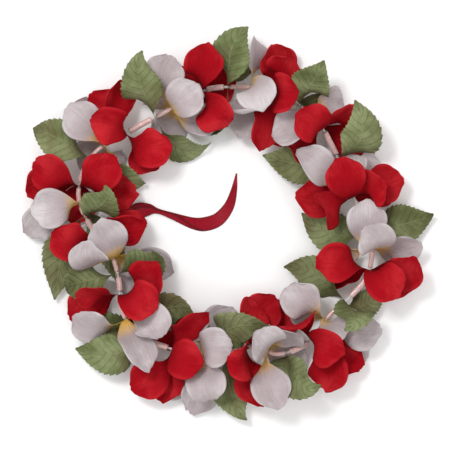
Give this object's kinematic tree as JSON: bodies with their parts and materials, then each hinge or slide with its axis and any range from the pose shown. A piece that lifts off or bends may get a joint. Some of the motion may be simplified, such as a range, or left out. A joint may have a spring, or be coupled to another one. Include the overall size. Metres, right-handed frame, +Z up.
{
  "type": "fabric haku lei",
  "caption": "Open wreath of red and white fabric blooms and serrated fabric leaves threaded on elastic with straw spacers and a ribbon tail, lying flat.",
  "frame": {"origin": "bottom centre of the wreath's box, on the surface it lies on", "axes": "+Z up, through the wreath's hole; +Y towards the top of the wreath as laid out, +X to its right"},
  "size_m": [0.2652, 0.2519, 0.0411],
  "materials": {
    "red_fabric": "matte stiffened satin weave",
    "white_fabric": "matte stiffened weave with a yellow throat",
    "leaf_fabric": "matte, with pressed veins",
    "straw_plastic": "translucent, smooth",
    "elastic_cord": "matte covered elastic",
    "ribbon_satin": "satin"
  },
  "bodies": {
    "root": {"red_bloom_01": "red_fabric", "red_bloom_02": "red_fabric", "red_bloom_03": "red_fabric", "red_bloom_04": "red_fabric", "red_bloom_05": "red_fabric", "red_bloom_06": "red_fabric", "red_bloom_07": "red_fabric", "red_bloom_08": "red_fabric", "red_bloom_09": "red_fabric", "red_bloom_10": "red_fabric", "red_bloom_11": "red_fabric", "red_bloom_12": "red_fabric", "white_bloom_01": "white_fabric", "white_bloom_02": "white_fabric", "white_bloom_03": "white_fabric", "white_bloom_04": "white_fabric", "white_bloom_05": "white_fabric", "white_bloom_06": "white_fabric", "white_bloom_07": "white_fabric", "white_bloom_08": "white_fabric", "white_bloom_09": "white_fabric", "white_bloom_10": "white_fabric", "white_bloom_11": "white_fabric", "white_bloom_12": "white_fabric", "leaf_sheet_01": "leaf_fabric", "leaf_sheet_02": "leaf_fabric", "leaf_sheet_03": "leaf_fabric", "leaf_sheet_04": "leaf_fabric", "leaf_sheet_05": "leaf_fabric", "leaf_sheet_06": "leaf_fabric", "leaf_sheet_07": "leaf_fabric", "leaf_sheet_08": "leaf_fabric", "leaf_sheet_09": "leaf_fabric", "leaf_sheet_10": "leaf_fabric", "leaf_sheet_11": "leaf_fabric", "leaf_sheet_12": "leaf_fabric", "straw_01": "straw_plastic", "straw_02": "straw_plastic", "straw_03": "straw_plastic", "straw_04": "straw_plastic", "straw_05": "straw_plastic", "straw_06": "straw_plastic", "straw_07": "straw_plastic", "straw_08": "straw_plastic", "straw_09": "straw_plastic", "straw_10": "straw_plastic", "straw_11": "straw_plastic", "straw_12": "straw_plastic", "elastic": "elastic_cord", "ribbon": "ribbon_satin"}
  },
  "joints": []
}
